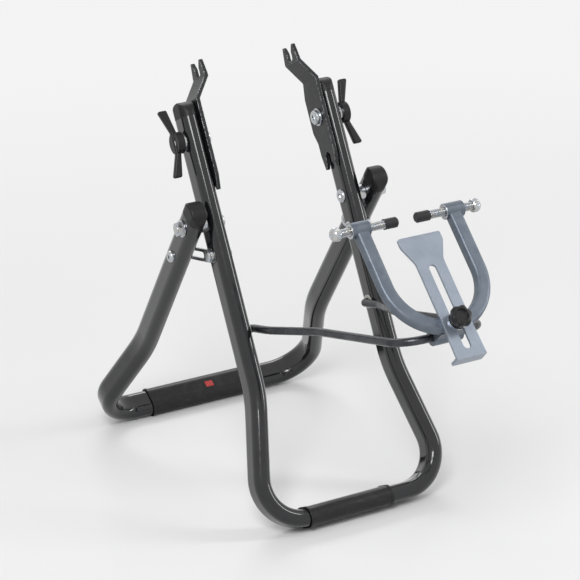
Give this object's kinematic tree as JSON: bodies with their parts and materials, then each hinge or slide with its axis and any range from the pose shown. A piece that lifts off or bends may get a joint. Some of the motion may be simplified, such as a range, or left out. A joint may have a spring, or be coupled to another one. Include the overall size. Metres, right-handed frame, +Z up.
{
  "type": "bicycle wheel truing stand",
  "caption": "Folding bench stand that holds a bicycle wheel by its axle between two tube legs, with a swinging wire bail that carries a U gauge for truing the rim.",
  "frame": {"origin": "on the floor, in the middle of the stand's outline seen from above", "axes": "+Z up, +X to the right across the stand, -Y towards the gauge side where the user sits"},
  "size_m": [0.267, 0.5502, 0.4298],
  "materials": {
    "tube_black": "gloss black paint",
    "holder_black": "satin black paint",
    "bail_steel": "dark satin",
    "zinc_steel": "bright zinc",
    "cast_aluminium": "satin cast",
    "plate_steel": "satin silver",
    "knob_plastic": "black",
    "cap_plastic": "black",
    "tip_plastic": "dark grey",
    "bush_nylon": "natural",
    "foot_rubber": "black",
    "red_mark": "red"
  },
  "bodies": {
    "front_frame": {"front_leg": "tube_black", "front_foot_sleeve": "foot_rubber", "front_cap_left": "cap_plastic", "front_cap_right": "cap_plastic", "hinge_bolt_left": "zinc_steel", "hinge_bolt_right": "zinc_steel", "hinge_spacer_left": "zinc_steel", "hinge_spacer_right": "zinc_steel", "hinge_nut_left": "zinc_steel", "hinge_nut_right": "zinc_steel", "stay_pin_left": "zinc_steel", "stay_pin_right": "zinc_steel", "holder_bolt_left": "zinc_steel", "holder_bolt_right": "zinc_steel", "holder_washer_left": "zinc_steel", "holder_washer_right": "zinc_steel", "bail_bush_left": "bush_nylon", "bail_bush_right": "bush_nylon"},
    "rear_frame": {"rear_leg": "tube_black", "rear_foot_sleeve": "foot_rubber", "red_sticker": "red_mark", "rear_cap_left": "cap_plastic", "rear_cap_right": "cap_plastic", "stop_bolt_left": "zinc_steel", "stop_bolt_right": "zinc_steel"},
    "bail": {"bail_rod": "bail_steel"},
    "gauge": {"gauge_frame": "cast_aluminium", "clamp_stud": "zinc_steel", "clamp_washer": "zinc_steel"},
    "centring_plate": {"centring_plate": "plate_steel"},
    "clamp_knob": {"clamp_knob": "knob_plastic"},
    "stay_left": {"stay_left": "zinc_steel"},
    "holder_left": {"hub_holder_left": "holder_black"},
    "wing_knob_left": {"wing_knob_left": "knob_plastic", "knob_collar_left": "zinc_steel"},
    "side_screw_left": {"side_screw_left": "zinc_steel", "screw_tip_left": "tip_plastic", "screw_head_left": "zinc_steel"},
    "stay_right": {"stay_right": "zinc_steel"},
    "holder_right": {"hub_holder_right": "holder_black"},
    "wing_knob_right": {"wing_knob_right": "knob_plastic", "knob_collar_right": "zinc_steel"},
    "side_screw_right": {"side_screw_right": "zinc_steel", "screw_tip_right": "tip_plastic", "screw_head_right": "zinc_steel"}
  },
  "joints": [
    {"name": "leg_fold", "type": "hinge", "parent": "front_frame", "child": "rear_frame", "pos_m": [0, 0.0709, 0.28215], "axis": [-1, 0, 0], "range_deg": [0, 62.67]},
    {"name": "bail_swing", "type": "hinge", "parent": "front_frame", "child": "bail", "pos_m": [0, 0.01973, 0.18399], "axis": [-1, 0, 0], "range_deg": [-25, 70]},
    {"name": "gauge_tilt", "type": "hinge", "parent": "bail", "child": "gauge", "pos_m": [0, -0.23063, 0.25107], "axis": [-1, 0, 0], "range_deg": [-80, 55]},
    {"name": "plate_slide", "type": "slide", "parent": "gauge", "child": "centring_plate", "axis": [0, 0.7193, 0.6947], "range_m": [-0.052, 0.016]},
    {"name": "clamp_knob_turn", "type": "hinge", "parent": "gauge", "child": "clamp_knob", "pos_m": [0, -0.2505, 0.27165], "axis": [0, -0.6947, 0.7193], "continuous": true},
    {"name": "stay_left_turn", "type": "hinge", "parent": "front_frame", "child": "stay_left", "pos_m": [0, 0.05602, 0.2536], "axis": [-1, 0, 0], "range_deg": [0, 105.27]},
    {"name": "holder_left_flip", "type": "hinge", "parent": "front_frame", "child": "holder_left", "pos_m": [0, 0.10963, 0.35646], "axis": [-1, 0, 0], "range_deg": [0, 180]},
    {"name": "wing_knob_left_turn", "type": "hinge", "parent": "front_frame", "child": "wing_knob_left", "pos_m": [0, 0.10963, 0.35646], "axis": [-1, 0, 0], "continuous": true},
    {"name": "side_screw_left_travel", "type": "slide", "parent": "gauge", "child": "side_screw_left", "axis": [1, 0, 0], "range_m": [-0.016, 0.008]},
    {"name": "stay_right_turn", "type": "hinge", "parent": "front_frame", "child": "stay_right", "pos_m": [0, 0.05602, 0.2536], "axis": [-1, 0, 0], "range_deg": [0, 105.27]},
    {"name": "holder_right_flip", "type": "hinge", "parent": "front_frame", "child": "holder_right", "pos_m": [0, 0.10963, 0.35646], "axis": [-1, 0, 0], "range_deg": [0, 180]},
    {"name": "wing_knob_right_turn", "type": "hinge", "parent": "front_frame", "child": "wing_knob_right", "pos_m": [0, 0.10963, 0.35646], "axis": [1, 0, 0], "continuous": true},
    {"name": "side_screw_right_travel", "type": "slide", "parent": "gauge", "child": "side_screw_right", "axis": [-1, 0, 0], "range_m": [-0.016, 0.008]}
  ],
  "couplings": [
    {"joint": "stay_left_turn", "follows": "leg_fold", "ratio": 1.6781},
    {"joint": "stay_right_turn", "follows": "leg_fold", "ratio": 1.6781}
  ]
}
